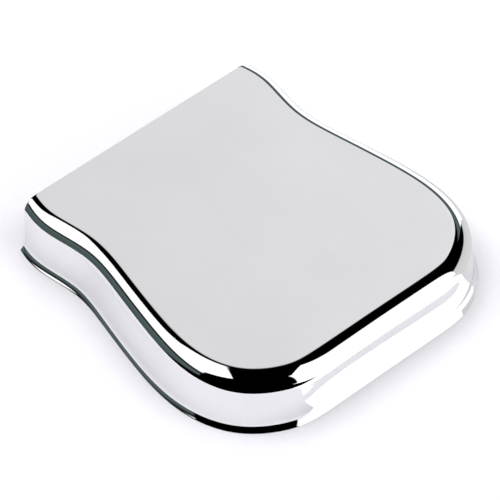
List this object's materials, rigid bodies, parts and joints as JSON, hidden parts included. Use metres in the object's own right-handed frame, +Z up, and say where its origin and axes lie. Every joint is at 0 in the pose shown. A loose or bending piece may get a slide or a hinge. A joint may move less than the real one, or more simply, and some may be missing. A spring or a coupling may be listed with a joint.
{
  "type": "guitar bridge cover",
  "caption": "Chrome-plated sheet-metal cover for an electric guitar's bridge, open at one end, with a foam string damper and grip felts inside.",
  "frame": {"origin": "under the middle of the cover, on the plane that its rim rests on", "axes": "+Z up out of the flat top, +Y out of the open end, -Y out of the closed end, X across the width"},
  "size_m": [0.0998, 0.099, 0.0172],
  "materials": {
    "chrome_plate": "bright decorative chrome over polished nickel, mirror smooth outside",
    "adhesive_film": "double-sided adhesive film, dull and slightly yellow",
    "damper_foam": "open-cell charcoal foam",
    "grip_felt": "pressed black wool felt"
  },
  "bodies": {
    "root": {"cover_shell": "chrome_plate", "damper_adhesive": "adhesive_film", "damper_pad": "damper_foam", "left_grip_felt": "grip_felt", "right_grip_felt": "grip_felt"}
  },
  "joints": []
}
